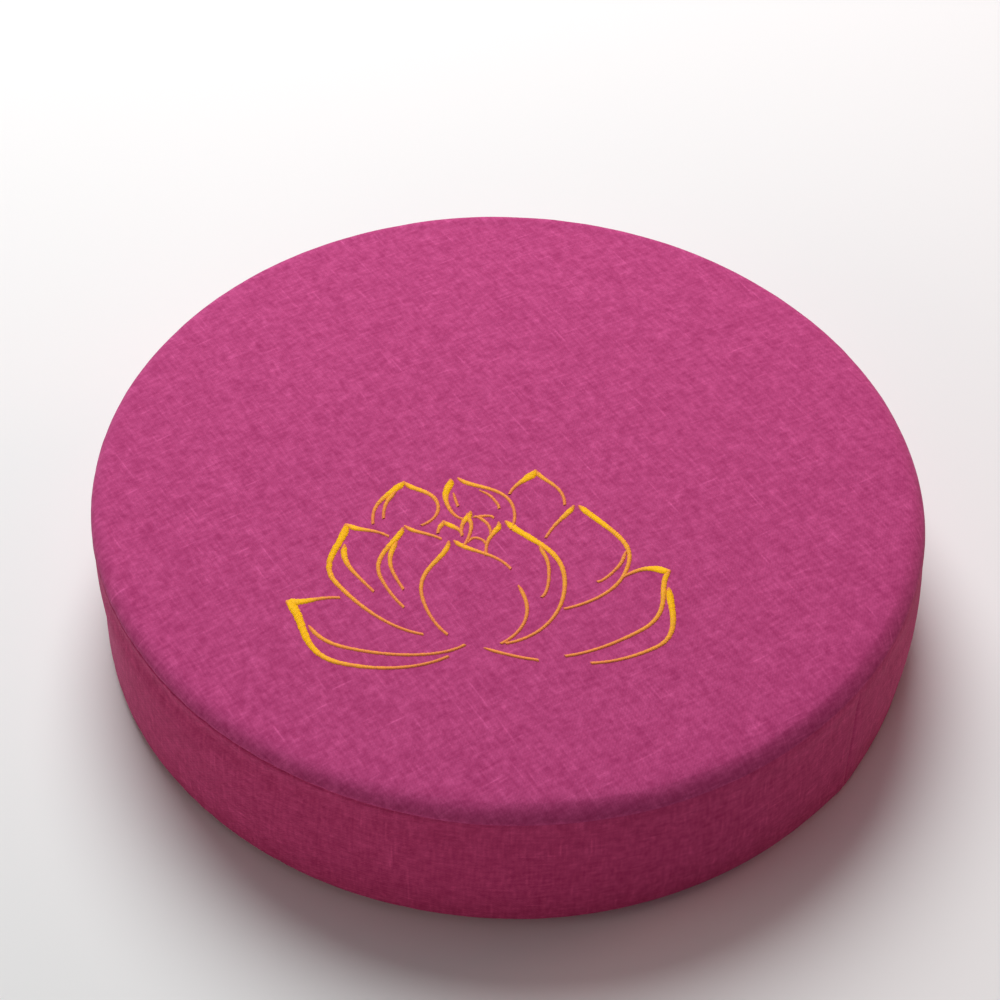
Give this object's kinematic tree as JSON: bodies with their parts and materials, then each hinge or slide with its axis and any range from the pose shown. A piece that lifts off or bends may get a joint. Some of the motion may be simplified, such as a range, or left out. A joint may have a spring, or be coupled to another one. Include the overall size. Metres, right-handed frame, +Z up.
{
  "type": "meditation cushion",
  "caption": "Round boxed floor cushion for meditation in raspberry linen-look cloth, with a rolled shoulder, plain seams, a soft crown and a gold embroidered lotus on the top panel.",
  "frame": {"origin": "centre of the flat bottom panel, on the surface that the cushion rests on", "axes": "+Z up through the crown; +Y from the base of the lotus to its tips, so the front edge is at -Y; +X to the right of someone who faces the lotus"},
  "size_m": [0.4028, 0.4028, 0.0876],
  "materials": {
    "linen": "matt plain weave with slubs",
    "gold_thread": "satin-stitched embroidery thread with a soft sheen"
  },
  "bodies": {
    "root": {"cushion": "linen", "thread_back_centre": "gold_thread", "thread_back_centre_far": "gold_thread", "thread_back_left": "gold_thread", "thread_back_left_double": "gold_thread", "thread_back_left_far": "gold_thread", "thread_back_right": "gold_thread", "thread_back_right_far": "gold_thread", "thread_bud_back": "gold_thread", "thread_bud_left": "gold_thread", "thread_bud_left_far": "gold_thread", "thread_bud_right": "gold_thread", "thread_bud_right_far": "gold_thread", "thread_bud_vein": "gold_thread", "thread_front_left": "gold_thread", "thread_front_right": "gold_thread", "thread_front_right_low": "gold_thread", "thread_inner_left": "gold_thread", "thread_inner_left_back": "gold_thread", "thread_inner_left_double": "gold_thread", "thread_inner_right": "gold_thread", "thread_inner_right_back": "gold_thread", "thread_inner_right_double": "gold_thread", "thread_low_left": "gold_thread", "thread_low_left_double": "gold_thread", "thread_low_left_top": "gold_thread", "thread_low_right": "gold_thread", "thread_low_right_double": "gold_thread", "thread_low_right_top": "gold_thread", "thread_middle_left": "gold_thread", "thread_middle_left_back": "gold_thread", "thread_middle_left_double": "gold_thread", "thread_middle_right": "gold_thread", "thread_middle_right_back": "gold_thread", "thread_middle_right_double": "gold_thread", "thread_root_right": "gold_thread"}
  },
  "joints": []
}
